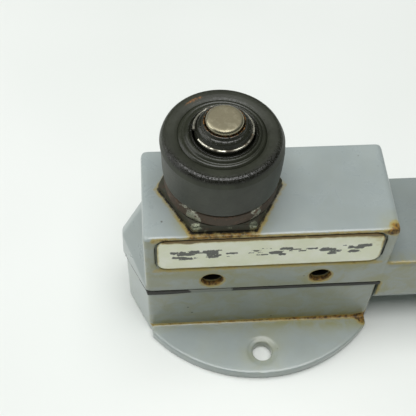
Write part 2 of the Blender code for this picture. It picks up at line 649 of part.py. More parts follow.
def make_fasteners():
    for name, (x, y) in zip(("left", "front", "back"), COVER_SCREWS):
        screw_fastener("cover_screw_" + name, (x, y, 0.4), (x, y, SCREW_END), 1.5, HEAD_RADIUS,
                       COVER_SCREW_RADIUS, STEEL)
    for name, (x, y) in zip(("left", "right"), BRACKET_SCREWS):
        screw_fastener("bracket_screw_" + name, (x, y, 0.4), (x, y, 6.2), 1.3, 2.4, 1.3, STEEL)
    for name, x in zip(("left", "right"), CASE_HOLES_X):
        screw_fastener("switch_screw_" + name, (x, -11.0, CASE_HOLE_Z), (x, 11.0, CASE_HOLE_Z), 2.0,
                       3.2, 1.8, STEEL)
    for name, x in (("common", -25.9), ("normally_open", 17.6)):
        screw_fastener("terminal_screw_" + name, (x, 0, 6.0), (x, 0, 9.6), 2.2, 2.6, 1.5,
                       BRASS)
    screw_fastener("terminal_screw_normally_closed", (25.2, 0, 22.6), (25.2, 0, 17.6), 1.8, 2.6, 1.5,
                   BRASS)
    screw_fastener("ground_screw", (GROUND_X, 0, 38.4), (GROUND_X, 0, 44.5), 2.1, 3.2, 1.4,
                   GREEN_SCREW)


make_housing()
make_base()
make_gasket()
make_nameplate()
make_bushing()
make_bushing_fixings()
make_boot()
make_snap_ring()
make_plunger()
make_switch_case()
make_switch_motion()
make_terminals()
make_bracket()
make_fasteners()
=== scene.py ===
"""Looks for the enclosed limit switch: worn castings, a sealed plunger head and a stained nameplate.

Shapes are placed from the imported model.  Lengths are in metres, and MM marks the ones that read
better in millimetres.
"""
import json
import math

import bpy
import numpy as np
from mathutils import Matrix, Vector


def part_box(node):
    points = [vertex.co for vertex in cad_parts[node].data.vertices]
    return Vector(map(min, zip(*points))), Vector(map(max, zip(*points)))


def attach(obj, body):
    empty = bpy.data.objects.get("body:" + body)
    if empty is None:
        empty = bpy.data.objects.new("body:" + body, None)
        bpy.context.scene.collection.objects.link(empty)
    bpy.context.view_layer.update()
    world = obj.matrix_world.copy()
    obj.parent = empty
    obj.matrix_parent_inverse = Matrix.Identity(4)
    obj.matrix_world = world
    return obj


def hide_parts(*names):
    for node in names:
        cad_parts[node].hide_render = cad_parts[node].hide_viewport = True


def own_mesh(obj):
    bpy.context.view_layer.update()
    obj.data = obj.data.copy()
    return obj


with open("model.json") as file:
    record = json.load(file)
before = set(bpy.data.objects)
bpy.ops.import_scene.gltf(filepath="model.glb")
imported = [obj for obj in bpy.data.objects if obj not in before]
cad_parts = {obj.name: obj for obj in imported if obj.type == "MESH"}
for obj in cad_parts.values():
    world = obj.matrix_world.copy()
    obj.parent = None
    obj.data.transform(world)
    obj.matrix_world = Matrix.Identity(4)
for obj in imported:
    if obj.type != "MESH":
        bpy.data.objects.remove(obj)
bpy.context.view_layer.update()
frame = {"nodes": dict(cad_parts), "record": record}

MM = 0.001
NODES = frame["nodes"]

# ---- places taken from the frame ------------------------------------------------------------


def middle(node):
    low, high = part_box(node)
    return (low + high) / 2


def radius_of(node):
    low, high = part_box(node)
    return (high.x - low.x) / 2


AXIS = middle("plunger")
HOUSING_LOW, HOUSING_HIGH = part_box("housing")
BASE_LOW, BASE_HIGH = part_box("base_cover")
PLATE_LOW, PLATE_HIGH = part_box("nameplate")
GASKET_LOW, GASKET_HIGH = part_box("housing_gasket")
FRONT, TOP = HOUSING_LOW.y, HOUSING_HIGH.z
TIP_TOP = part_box("plunger")[1].z

# The frame gives outer boxes only, so the places inside them are stated here.
HEXAGON_HALF = 13.6 * MM  # from the axis to a flat of the bushing's hexagon
HEXAGON_TOP = 51.8 * MM
BOX_RIGHT = 32 * MM  # right wall of the tall box, where the hub starts
HUB_TOP = 32.8 * MM
FLANGE_TOP = 3.4 * MM
BASE_WALL = 13.65 * MM  # from the middle to the front or back of the base's wall
BASE_RIGHT = 31.3 * MM
FLANGE_HOLE = 23.4 * MM  # from the middle to a mounting hole, to the front or back
SIDE_HOLES = [(side * 14.4 * MM, 28 * MM) for side in (-1, 1)]  # x and z of their middles
SIDE_HOLE_RADIUS = 3.0 * MM
RIM_INNER = 10.5 * MM  # where the boot's rim meets its folds
RIM_LIFT = 0.95 * MM  # how far the rubber's rim stands above the CAD rim
LEAN = 0.4 * MM  # the boot's top has crept to the left


# ---- node trees -----------------------------------------------------------------------------

MIX_UNDER, MIX_OVER, MIX_RESULT = 6, 7, 2  # the colour sockets of a Mix node


class Shader:
    """A procedural material, with short calls for the nodes that these finishes use."""

    def __init__(self, name):
        self.material = bpy.data.materials.new(name)
        self.material.use_nodes = True
        self.tree = self.material.node_tree
        self.surface = self.tree.nodes["Principled BSDF"]
        self.place = self.add("TexCoord").outputs["Object"]

    def add(self, kind, **settings):
        node = self.tree.nodes.new("ShaderNode" + kind)
        for name, value in settings.items():
            setattr(node, name, value)
        return node

    def feed(self, socket, value):
        if isinstance(value, bpy.types.NodeSocket):
            self.tree.links.new(value, socket)
        elif isinstance(value, tuple) and len(value) == 3 and socket.type == "RGBA":
            socket.default_value = (*value, 1.0)
        else:
            socket.default_value = value

    def stretched(self, factors):
        node = self.add("Mapping")
        self.feed(node.inputs["Vector"], self.place)
        node.inputs["Scale"].default_value = factors
        return node.outputs["Vector"]

    def noise(self, size, detail=3.0, rough=0.55, where=None, twist=0.0):
        """Soft noise from 0 to 1, with features about size metres across."""
        node = self.add("TexNoise")
        self.feed(node.inputs["Vector"], where or self.place)
        node.inputs["Scale"].default_value = 1.0 / size
        node.inputs["Detail"].default_value = detail
        node.inputs["Roughness"].default_value = rough
        node.inputs["Distortion"].default_value = twist
        return node.outputs["Fac"]

    def cells(self, size):
        """Distance to the nearest of many scattered spots, about size metres apart."""
        node = self.add("TexVoronoi")
        self.feed(node.inputs["Vector"], self.place)
        node.inputs["Scale"].default_value = 1.0 / size
        return node.outputs["Distance"]

    def step(self, value, low, high):
        """0 below low, 1 above high and smooth between; low may be the greater."""
        node = self.add("MapRange", interpolation_type="SMOOTHSTEP")
        self.feed(node.inputs["Value"], value)
        node.inputs["From Min"].default_value = low
        node.inputs["From Max"].default_value = high
        return node.outputs["Result"]

    def math(self, operation, first, second=0.0, clamp=False):
        node = self.add("Math", operation=operation, use_clamp=clamp)
        self.feed(node.inputs[0], first)
        self.feed(node.inputs[1], second)
        return node.outputs[0]

    def times(self, first, second):
        return self.math("MULTIPLY", first, second)

    def plus(self, first, second):
        return self.math("ADD", first, second, clamp=True)

    def mix(self, amount, under, over):
        """The colour under with this much of the colour over laid on it."""
        node = self.add("Mix", data_type="RGBA")
        self.feed(node.inputs["Factor"], amount)
        self.feed(node.inputs[MIX_UNDER], under)
        self.feed(node.inputs[MIX_OVER], over)
        return node.outputs[MIX_RESULT]

    def drawn(self, name):
        """A value painted on the mesh's points."""
        return self.add("Attribute", attribute_name=name).outputs["Fac"]

    def colour(self, value):
        self.feed(self.surface.inputs["Base Color"], value)

    def roughness(self, value):
        self.feed(self.surface.inputs["Roughness"], value)

    def metal(self, value):
        self.feed(self.surface.inputs["Metallic"], value)

    def bump(self, height, depth, strength=1.0):
        node = self.add("Bump")
        node.inputs["Strength"].default_value = strength
        node.inputs["Distance"].default_value = depth
        self.feed(node.inputs["Height"], height)
        self.feed(self.surface.inputs["Normal"], node.outputs["Normal"])

    def gloss_coat(self, weight, rough):
        self.surface.inputs["Coat Weight"].default_value = weight
        self.surface.inputs["Coat Roughness"].default_value = rough


def enamel():
    """Grey machine enamel, grimy and stained by rust where water has stood, with near-black grease and
    painted shade where they are drawn.
    """
    s = Shader("grey_enamel")
    fine = s.math("SUBTRACT", s.noise(1.3 * MM, 5, 0.65), 0.5)
    paint = s.mix(s.step(s.noise(14 * MM, 3), 0.3, 0.7), (0.300, 0.345, 0.345), (0.335, 0.382, 0.380))
    patches = s.step(s.noise(6 * MM, 5, 0.62, twist=0.6), 0.36, 0.64)
    film = s.times(s.drawn("grime"), s.plus(s.times(patches, 0.65), 0.35))
    paint = s.mix(s.times(film, 0.8), paint, (0.285, 0.275, 0.095))
    # Painted shade: the paint is darkened where this mask is drawn.
    paint = s.mix(s.times(s.drawn("painted_shade"), 0.32), paint, (0.04, 0.05, 0.04))
    stain = s.plus(s.drawn("rust"), s.times(fine, 0.9))
    halo = s.times(s.step(stain, 0.10, 0.55), s.step(s.drawn("rust"), 0.0, 0.3))
    paint = s.mix(s.times(halo, 0.85), paint, (0.36, 0.275, 0.060))
    rust = s.times(s.step(stain, 0.50, 0.78), s.step(s.drawn("rust"), 0.05, 0.3))
    crust = s.step(s.noise(0.9 * MM, 4), 0.38, 0.62)
    paint = s.mix(rust, paint, s.mix(crust, (0.060, 0.034, 0.009), (0.27, 0.150, 0.028)))
    # Near black where this mask is drawn: grease at some joins, and painted shade in gaps and holes.
    soot_and_shade = s.times(s.step(s.plus(s.drawn("soot_and_shade"), s.times(fine, 0.6)), 0.32, 0.66),
                   s.step(s.drawn("soot_and_shade"), 0.02, 0.2))
    paint = s.mix(soot_and_shade, paint, (0.010, 0.009, 0.006))
    speck = s.times(s.step(s.cells(3.4 * MM), 0.13, 0.06), s.step(s.noise(13 * MM, 2), 0.54, 0.62))
    paint = s.mix(s.times(speck, 0.8), paint, (0.055, 0.05, 0.03))
    s.colour(paint)
    dull = s.plus(s.times(rust, 0.5), s.times(soot_and_shade, 0.3))
    s.roughness(s.plus(s.plus(s.times(film, 0.12), s.times(halo, 0.1)), s.plus(dull, 0.27)))
    skin = s.plus(s.times(s.noise(1.0 * MM, 2), 0.10), s.times(s.noise(6 * MM, 2), 0.5))
    s.bump(s.plus(skin, s.times(s.times(rust, s.noise(0.5 * MM, 4)), 0.9)), 0.05 * MM, 0.5)
    s.gloss_coat(0.3, 0.12)
    return s.material


def nameplate_finish():
    """Cream lacquer: yellow at its edges, with rubbed dark remains that say nothing."""
    s = Shader("cream_lacquer")
    fine = s.math("SUBTRACT", s.noise(1.8 * MM, 5, 0.65), 0.5)
    cream = s.mix(s.step(s.noise(6 * MM, 4), 0.35, 0.7), (0.84, 0.86, 0.64), (0.92, 0.93, 0.78))
    edge = s.drawn("edge")
    ragged = s.plus(edge, s.times(fine, 0.8))
    stain = s.times(s.step(ragged, 0.22, 0.75), s.step(edge, 0.02, 0.2))
    cream = s.mix(s.times(stain, 0.8), cream, (0.52, 0.40, 0.10))
    cream = s.mix(s.times(s.step(ragged, 0.66, 0.95), 0.85), cream, (0.11, 0.062, 0.018))
    eaten = s.noise(0.55 * MM, 4, 0.7, s.stretched((0.6, 1.0, 1.0)))
    worn = s.step(s.plus(s.drawn("print"), s.times(s.math("SUBTRACT", eaten, 0.5), 1.7)), 0.42, 0.60)
    worn = s.times(worn, s.step(s.drawn("print"), 0.05, 0.3))
    cream = s.mix(s.times(worn, 0.95), cream, (0.020, 0.024, 0.018))
    s.colour(cream)
    s.roughness(s.plus(s.times(stain, 0.25), 0.32))
    s.bump(s.plus(s.times(s.noise(1.0 * MM, 3), 0.4), s.times(worn, 0.5)), 0.03 * MM, 0.5)
    s.gloss_coat(0.15, 0.2)
    return s.material


def rubber(name, dust, rough, wet=False):
    """Moulded black rubber under a film of dust; wet adds painted "spots" of rust and "wet" oil."""
    s = Shader(name)
    cloud = s.noise(6 * MM, 4, 0.6)
    black = s.mix(s.step(cloud, 0.35, 0.7), (0.018, 0.020, 0.012), (0.029, 0.032, 0.020))
    film = s.step(s.noise(9 * MM, 5, 0.6, s.stretched((1.0, 1.0, 0.5))), 0.30, 0.75)
    black = s.mix(s.times(film, dust), black, (0.088, 0.098, 0.070))
    grit = s.noise(0.45 * MM, 4, 0.65)
    height = s.plus(s.times(grit, 0.35), s.times(s.noise(2.5 * MM, 3), 0.4))
    dry = s.plus(s.times(grit, 0.18), rough - 0.09)
    if wet:
        oil = s.drawn("wet")
        ragged = s.plus(s.drawn("spots"), s.times(s.math("SUBTRACT", grit, 0.5), 0.8))
        spots = s.times(s.step(ragged, 0.45, 0.62), s.step(s.drawn("spots"), 0.05, 0.3))
        rust = s.mix(s.step(grit, 0.4, 0.62), (0.075, 0.036, 0.014), (0.22, 0.105, 0.032))
        black = s.mix(s.times(oil, 0.9), black, (0.006, 0.006, 0.004))
        black = s.mix(s.times(spots, 0.9), black, rust)
        drops = s.step(s.noise(0.4 * MM, 2, 0.6), 0.46, 0.58)
        shine = s.times(s.times(oil, drops), rough - 0.10)
        dry = s.math("SUBTRACT", dry, shine, clamp=True)
        beads = s.times(s.step(s.cells(0.55 * MM), 0.34, 0.05), s.step(oil, 0.3, 0.7))
        height = s.plus(s.times(height, 0.4), s.times(beads, 0.9))
    s.colour(black)
    s.roughness(dry)
    s.bump(height, (0.16 if wet else 0.06) * MM, 0.8)
    s.surface.inputs["Specular IOR Level"].default_value = 0.4
    return s.material


def old_steel(name, bright, dark, rust, shine, spots):
    """Steel with grease and rust over it, rubbed bright in spots and where "rubbed" is painted.

    shine and spots are the least noise that shows metal and rust, so a lower number shows more.
    """
    s = Shader(name)
    cloud = s.noise(3.2 * MM, 5, 0.6)
    grain = s.noise(0.5 * MM, 4, 0.6)
    rusty = s.step(s.noise(2.1 * MM, 5, 0.65, twist=0.4), spots, spots + 0.12)
    worn = s.step(s.plus(cloud, s.times(s.drawn("rubbed"), 0.3)), shine, shine + 0.10)
    metal = s.mix(s.step(grain, 0.35, 0.65), bright, tuple(0.72 * c for c in bright))
    colour = s.mix(worn, dark, metal)
    colour = s.mix(rusty, colour, s.mix(s.step(grain, 0.4, 0.6), rust, tuple(0.35 * c for c in rust)))
    s.colour(colour)
    clean = s.times(worn, s.math("SUBTRACT", 1.0, rusty))
    s.metal(s.plus(s.times(clean, 0.9), 0.05))
    dirt = s.math("SUBTRACT", 1.0, clean)
    s.roughness(s.plus(s.times(dirt, 0.35), s.plus(s.times(grain, 0.15), 0.20)))
    s.bump(s.plus(s.times(grain, 0.5), s.times(rusty, 0.4)), 0.05 * MM, 0.6)
    return s.material


def plain_metal(name, tone, rough, wear=0.6):
    """Clean metal of a hidden piece: fine brushed grain and a little tarnish."""
    s = Shader(name)
    grain = s.noise(0.35 * MM, 4, 0.6, s.stretched((1.0, 1.0, 6.0)))
    tarnish = s.step(s.noise(3 * MM, 4), 0.45, 0.75)
    s.colour(s.mix(s.times(tarnish, wear), tone, tuple(0.5 * c for c in tone)))
    s.metal(1.0)
    s.roughness(s.plus(s.times(grain, 0.2), s.plus(s.times(tarnish, 0.15), rough - 0.1)))
    s.bump(grain, 0.02 * MM, 0.4)
    return s.material


def moulded(name, tone, rough):
    """Moulded plastic or board with a fine grain and slight cloudiness."""
    s = Shader(name)
    cloud = s.noise(4 * MM, 4)
    grain = s.noise(0.3 * MM, 3, 0.6)
    s.colour(s.mix(s.step(cloud, 0.3, 0.75), tone, tuple(min(1.0, 1.35 * c + 0.004) for c in tone)))
    s.roughness(s.plus(s.times(grain, 0.16), rough - 0.08))
    s.bump(grain, 0.02 * MM, 0.5)
    return s.material


# ---- meshes ---------------------------------------------------------------------------------


def new_piece(name, mesh, material, body, slot, *replaced):
    """Adds a piece in the row frame, on its body and standing for its CAD nodes."""
    piece = bpy.data.objects.new(name, mesh)
    bpy.context.scene.collection.objects.link(piece)
    piece.data.materials.clear()
    piece.data.materials.append(material)
    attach(piece, body)
    if replaced:
        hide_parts(*replaced)
    return piece


def final_mesh(piece, name):
    """The mesh that an object shows with its modifiers, as a mesh of its own."""
    bpy.context.view_layer.update()
    graph = bpy.context.evaluated_depsgraph_get()
    mesh = bpy.data.meshes.new_from_object(piece.evaluated_get(graph))
    mesh.name = name
    bpy.data.objects.remove(piece, do_unlink=True)
    return mesh


def points_of(mesh):
    points = np.empty(len(mesh.vertices) * 3)
    mesh.vertices.foreach_get("co", points)
    return points.reshape(-1, 3)


def move_points(mesh, points):
    mesh.vertices.foreach_set("co", points.ravel())
    mesh.update()


def draw(mesh, name, values):
    """Paints a value on each point, for a material to read."""
    layer = mesh.attributes.new(name, "FLOAT", "POINT")
    layer.data.foreach_set("value", np.clip(values, 0.0, 1.0).astype(np.float32))


def near(distance, full, none):
    """1 up to full, 0 from none and smooth between."""
    t = np.clip((none - distance) / (none - full), 0.0, 1.0)
    return t * t * (3 - 2 * t)


def to_segment(points, start, end):
    start, end = np.array(start), np.array(end)
    along = end - start
    t = np.clip((points - start) @ along / (along @ along), 0.0, 1.0)
    return np.linalg.norm(points - start - t[:, None] * along, axis=1)


def from_hexagon(points):
    """How far a point lies outside the bushing's hexagon, which has flats to the front and back."""
    x, y = points[:, 0] - AXIS.x, points[:, 1] - AXIS.y
    flats = [np.abs(x * math.sin(turn) + y * math.cos(turn)) for turn in (0.0, math.pi / 3, -math.pi / 3)]
    return np.maximum.reduce(flats) - HEXAGON_HALF


def from_axis(points):
    return np.hypot(points[:, 0] - AXIS.x, points[:, 1] - AXIS.y)


def around_axis(points):
    return np.arctan2(points[:, 1] - AXIS.y, points[:, 0] - AXIS.x)


def cast(node, name, voxel=0.36 * MM, rounds=4):
    """The CAD node as a fine closed skin, whose edges and inner corners the rounds of smoothing soften."""
    draft = bpy.data.objects.new(name, NODES[node].data.copy())
    bpy.context.scene.collection.objects.link(draft)
    skin = draft.modifiers.new("skin", "REMESH")
    skin.mode = "VOXEL"
    skin.voxel_size = voxel
    skin.use_smooth_shade = True
    if rounds:
        soften = draft.modifiers.new("soften", "SMOOTH")
        soften.factor = 0.5
        soften.iterations = rounds
    return final_mesh(draft, name)


def lathe(name, profile, steps):
    """A closed profile of (radius, height) turned about the plunger's axis.

    The profile runs down the outer side.  One that starts on the axis ends there too, and its
    first and last points become the middles of two caps.
    """
    solid = profile[0][0] <= 0.0
    outline = profile[1:-1] if solid else profile
    count = len(outline)
    angles = np.linspace(0.0, 2 * math.pi, steps, endpoint=False)
    radii = np.array([radius for radius, _ in outline])
    points = np.empty((steps, count, 3))
    points[:, :, 0] = AXIS.x + np.cos(angles)[:, None] * radii
    points[:, :, 1] = AXIS.y + np.sin(angles)[:, None] * radii
    points[:, :, 2] = [height for _, height in outline]
    vertices = [tuple(point) for point in points.reshape(-1, 3)]
    top, bottom = len(vertices), len(vertices) + 1
    if solid:
        vertices += [(AXIS.x, AXIS.y, profile[0][1]), (AXIS.x, AXIS.y, profile[-1][1])]
    faces, caps = [], []
    for i in range(steps):
        here, there = i * count, (i + 1) % steps * count
        for k in range(count - 1 if solid else count):
            n = (k + 1) % count
            faces.append((here + k, here + n, there + n, there + k))
        caps.append((top, here, there))
        caps.append((bottom, there + count - 1, here + count - 1))
    if solid:
        faces += caps
    mesh = bpy.data.meshes.new(name)
    mesh.from_pydata(vertices, [], faces)
    mesh.validate()
    mesh.shade_smooth()
    mesh.set_sharp_from_angle(angle=math.radians(50))
    return mesh


def rounded(points, radius, count):
    """The closed profile with each corner replaced by a curve of this radius, or of what fits its sides."""
    result = []
    for i, corner in enumerate(points):
        here = Vector(corner)
        back = Vector(points[i - 1]) - here
        ahead = Vector(points[(i + 1) % len(points)]) - here
        half = back.angle(ahead) / 2
        if math.pi / 2 - half < 0.05:  # the sides run almost straight on
            result.append(corner)
            continue
        reach = min(radius / math.tan(half), 0.45 * back.length, 0.45 * ahead.length)
        start = here + back.normalized() * reach
        end = here + ahead.normalized() * reach
        for t in np.linspace(0.0, 1.0, count + 1):
            bent = start * (1 - t) ** 2 + here * 2 * t * (1 - t) + end * t ** 2
            result.append(tuple(bent))
    return result


# ---- pieces ---------------------------------------------------------------------------------


def make_housing(paint):
    """The upper casting: rust at the plate's recess, round the hexagon and at the right-hand corner."""
    mesh = cast("housing", "housing_casting")
    points = points_of(mesh)
    x, y, z = points.T
    margin = 0.6 * MM
    left, right = PLATE_LOW.x - margin, PLATE_HIGH.x + margin
    low, high = PLATE_LOW.z - margin, PLATE_HIGH.z + margin

    def from_front_line(start, end):
        return to_segment(points, (start[0], FRONT, start[1]), (end[0], FRONT, end[1]))

    above = from_front_line((left, high), (right, high))
    below = from_front_line((left, low), (right, low))
    left_end = from_front_line((left, low), (left, high))
    right_end = from_front_line((right, low), (right, high))
    ends = np.minimum(left_end, right_end)
    seam = from_front_line((BOX_RIGHT - 0.4 * MM, 0.0), (BOX_RIGHT - 0.4 * MM, GASKET_HIGH.z))
    hub_edge = from_front_line((BOX_RIGHT, HUB_TOP), (HOUSING_HIGH.x, HUB_TOP))
    corner = np.linalg.norm(points - np.array((BOX_RIGHT - 0.8 * MM, FRONT + 0.8 * MM, TOP)), axis=1)
    holes = [np.hypot(x - hole_x, z - hole_z) for hole_x, hole_z in SIDE_HOLES]
    depth = HOUSING_HIGH.y - np.abs(y)
    in_hole = sum(near(r, SIDE_HOLE_RADIUS - 0.25 * MM, SIDE_HOLE_RADIUS + 0.1 * MM) for r in holes)
    in_hole = in_hole * (depth < 9 * MM)
    rims = sum(near(np.abs(r - SIDE_HOLE_RADIUS), 0.3 * MM, 0.9 * MM) for r in holes) * (depth < 1.5 * MM)
    on_top = near(TOP - z, 0.2 * MM, 0.8 * MM)
    beside = from_hexagon(points)
    at_front = near(y - FRONT, 2 * MM, 9 * MM)
    on_front = near(y - FRONT, 0.4 * MM, 1.2 * MM) * (z < TOP - 1 * MM)
    on_hub = near(BOX_RIGHT + 0.5 * MM - x, 0.0, 0.5 * MM)
    in_recess = (y > FRONT + 0.35 * MM) * (y < FRONT + 1.2 * MM)

    draw(mesh, "rust", 0.60 * near(above, 0.3 * MM, 1.5 * MM) + 0.46 * near(below, 0.3 * MM, 1.6 * MM)
         + 0.85 * near(corner, 0.8 * MM, 3.6 * MM) + 0.55 * near(seam, 0.2 * MM, 1.3 * MM)
         + on_top * (0.42 + 0.26 * at_front) * near(beside, 0.4 * MM, 2.0 * MM)
         + 0.5 * rims + 0.52 * in_hole * near(depth, 1.0 * MM, 3.0 * MM)
         + 0.36 * near(hub_edge, 0.2 * MM, 1.6 * MM))
    # Near black: grease where the hexagon meets the top, and painted shade in the plate's recess gaps and
    # deep inside the side holes.
    draw(mesh, "soot_and_shade", 0.85 * near(ends, 0.3 * MM, 1.0 * MM) * in_recess
         + 0.6 * near(above, 0.3 * MM, 0.9 * MM) * in_recess
         + 0.9 * in_hole * near(-depth, -2.4 * MM, -1.2 * MM)
         + 0.62 * on_top * near(beside, 0.2 * MM, 0.9 * MM))
    draw(mesh, "grime", 0.08 + 0.5 * near(below, 1.0 * MM, 5 * MM)
         + 0.6 * near(beside, 0.5 * MM, 4 * MM) * on_top * at_front
         + 0.45 * near(np.minimum(*holes), 2 * MM, 8 * MM) + 0.4 * near(seam, 1 * MM, 6 * MM)
         + 0.6 * near(corner, 1 * MM, 7 * MM) + 0.6 * on_front + 0.5 * near(hub_edge, 1 * MM, 5 * MM))
    # Painted shade: the front face is darkened, and the hub's top with it.
    draw(mesh, "painted_shade", on_hub * near(32 * MM - z, 0.0, 1.5 * MM) + 0.42 * on_front)
    new_piece("housing_casting", mesh, paint, "housing", "grey_paint", "housing")


def make_base(paint):
    """The lower casting: a rust line at its foot that widens to the right, a rust-stained hole with painted
    shade inside it, and painted shade over the front wall.
    """
    mesh = cast("base_cover", "base_casting")
    points = points_of(mesh)
    x, y, z = points.T
    left = BASE_LOW.x + 6 * MM

    def from_foot(wall_y):
        return to_segment(points, (left, wall_y, FLANGE_TOP), (BASE_RIGHT, wall_y, FLANGE_TOP))

    foot = np.minimum(from_foot(-BASE_WALL), from_foot(BASE_WALL))
    end = to_segment(points, (BASE_RIGHT, -BASE_WALL, FLANGE_TOP), (BASE_RIGHT, -BASE_WALL, BASE_HIGH.z))
    blot = np.array((BASE_RIGHT - 1 * MM, -BASE_WALL - 0.8 * MM, FLANGE_TOP))
    corner = np.linalg.norm(points - blot, axis=1)
    hole = np.hypot(x, np.abs(y) - FLANGE_HOLE)
    rightward = near(BASE_RIGHT - x, 0.0, 55 * MM)
    on_flange = near(-z, -2.4 * MM, -2.0 * MM)
    wall_front = near(np.abs(y + BASE_WALL), 0.3 * MM, 1.0 * MM) * near(4.5 * MM - z, 0.0, 1 * MM)

    draw(mesh, "rust", (0.62 + 0.2 * rightward) * near(foot, 0.3 * MM, (0.8 + 0.8 * rightward) * MM)
         + 0.5 * near(end, 0.2 * MM, 1.0 * MM) + 0.85 * near(corner, 1.0 * MM, 3.3 * MM)
         + 0.25 * near(hole, 2.2 * MM, 3.2 * MM))
    # Near black: grease along the foot, and painted shade inside the flange hole and at its counterbore's
    # edge.
    draw(mesh, "soot_and_shade", 0.4 * near(foot, 0.1 * MM, 0.4 * MM) + 0.3 * near(hole, 2.6 * MM, 3.0 * MM)
         + 0.3 * near(np.abs(hole - 4.3 * MM), 0.1 * MM, 0.4 * MM) * on_flange)
    draw(mesh, "grime", 0.16 + 0.5 * wall_front + 0.8 * rightward * near(foot, 1 * MM, 7 * MM)
         + 0.4 * near(foot, 0.5 * MM, 4 * MM) + 0.35 * near(hole, 2.6 * MM, 9 * MM))
    # Painted shade over the base's front wall.
    draw(mesh, "painted_shade", 0.5 * wall_front)
    new_piece("base_casting", mesh, paint, "housing", "grey_paint", "base_cover")


def gasket_finish():
    """Black rubber with grey paint over one stretch of its edge."""
    s = Shader("gasket_finish")
    black = s.mix(s.noise(2 * MM, 4), (0.016, 0.016, 0.013), (0.035, 0.034, 0.028))
    ragged = s.times(s.math("SUBTRACT", s.noise(2.5 * MM, 4, 0.7), 0.5), 1.4)
    cover = s.step(s.plus(s.drawn("painted"), ragged), 0.35, 0.6)
    s.colour(s.mix(cover, black, (0.17, 0.185, 0.155)))
    s.roughness(s.plus(s.times(cover, -0.25), 0.65))
    s.bump(s.noise(0.6 * MM, 4), 0.04 * MM, 0.6)
    return s.material


def make_gasket():
    """The gasket's edge stands out a little and unevenly, most of all at the front left."""
    mesh = cast("housing_gasket", "gasket_bead", 0.2 * MM, 0)
    points = points_of(mesh)
    centre = (GASKET_LOW.z + GASKET_HIGH.z) / 2
    x = points[:, 0]
    corner = near(np.abs(x + 28 * MM), 3 * MM, 9 * MM)
    painted = near(np.abs(x + 14.5 * MM), 3 * MM, 8 * MM)
    wave = 0.5 + 0.5 * np.sin(x * 420) * np.sin(x * 173 + 1.3)
    points[:, 2] = centre + (points[:, 2] - centre) * (1.5 + 0.4 * corner)
    at_front = near(points[:, 1] - GASKET_LOW.y, 0.2 * MM, 1.2 * MM)
    points[:, 1] -= (0.12 + 0.22 * corner + 0.08 * wave + 0.1 * painted) * MM * at_front
    move_points(mesh, points)
    draw(mesh, "painted", painted * at_front)
    new_piece("gasket_bead", mesh, gasket_finish(), "housing", "gasket_rubber", "housing_gasket")


def smudges(across, up):
    """Worn flecks in a few level rows, with two or three blots towards each end of the plate."""
    chance = np.random.default_rng(11)
    ink = np.zeros(len(across))

    def fleck(x, z, length, thick, weight):
        aside = np.maximum(np.abs(across / MM - x) - length / 2, 0.0)
        gap = np.hypot(aside, np.abs(up / MM - z))
        return np.maximum(ink, near(gap, 0.3 * thick, 1.5 * thick) * weight)

    for row, share in ((1.4, 0.65), (0.3, 0.5), (-1.2, 0.65)):
        x = -24.0
        while x < 24:
            length = chance.uniform(0.5, 3.2)
            if chance.random() < share * (0.5 + 0.5 * min(1.0, abs(x) / 14)):
                ink = fleck(x, row + chance.uniform(-0.5, 0.5), length, chance.uniform(0.25, 0.6),
                            chance.uniform(0.45, 0.85))
            x += length + chance.uniform(0.4, 3.0)
    for x in (-23, -20.5, -14, 2.5, 15.5, 23):
        for _ in range(5):
            ink = fleck(x + chance.uniform(-1.6, 1.6), chance.uniform(-1.7, 1.7), chance.uniform(0.6, 2.8),
                        chance.uniform(0.45, 0.95), chance.uniform(0.7, 0.95))
    return ink


def make_nameplate():
    """The plate's edge is yellowed, most of all along its top, with a dark spot at the top left."""
    mesh = cast("nameplate", "nameplate_sheet", 0.16 * MM, 2)
    points = points_of(mesh)
    centre, half = (PLATE_LOW + PLATE_HIGH) / 2, (PLATE_HIGH - PLATE_LOW) / 2
    across, up = points[:, 0] - centre.x, points[:, 2] - centre.z
    from_top = half.z - up
    inward = np.minimum(half.x - np.abs(across), half.z - np.abs(up))
    top_right = np.hypot(half.x - across, from_top)
    dark_spot = np.hypot((across + 21 * MM) / 1.6, from_top)
    draw(mesh, "edge", 0.64 * near(inward, 0.0, 1.0 * MM) + 0.45 * near(from_top, 0.2 * MM, 2.4 * MM)
         + 0.4 * near(top_right, 2 * MM, 9 * MM) + near(dark_spot, 0.5 * MM, 1.5 * MM))
    draw(mesh, "print", smudges(across, up))
    new_piece("nameplate_sheet", mesh, nameplate_finish(), "housing", "cream_plate", "nameplate")


def make_bushing():
    """The hexagon under the boot, its two front corners rubbed bright, and the barrel below it."""
    mesh = cast("plunger_bushing", "bushing_hexagon", 0.22 * MM, 3)
    points = points_of(mesh)
    sideways, forward = np.abs(points[:, 0] - AXIS.x), points[:, 1] - AXIS.y
    corners = np.hypot(sideways - 7.3 * MM, forward + HEXAGON_HALF)
    side = near(points[:, 2], HEXAGON_TOP - 0.5 * MM, HEXAGON_TOP + 0.1 * MM)
    draw(mesh, "rubbed", near(corners, 0.4 * MM, 1.6 * MM) * side)
    finish = old_steel("greasy_steel", (0.27, 0.29, 0.21), (0.030, 0.030, 0.014), (0.060, 0.036, 0.014),
                       shine=0.60, spots=0.52)
    new_piece("bushing_hexagon", mesh, finish, "housing", "rusty_steel", "plunger_bushing")


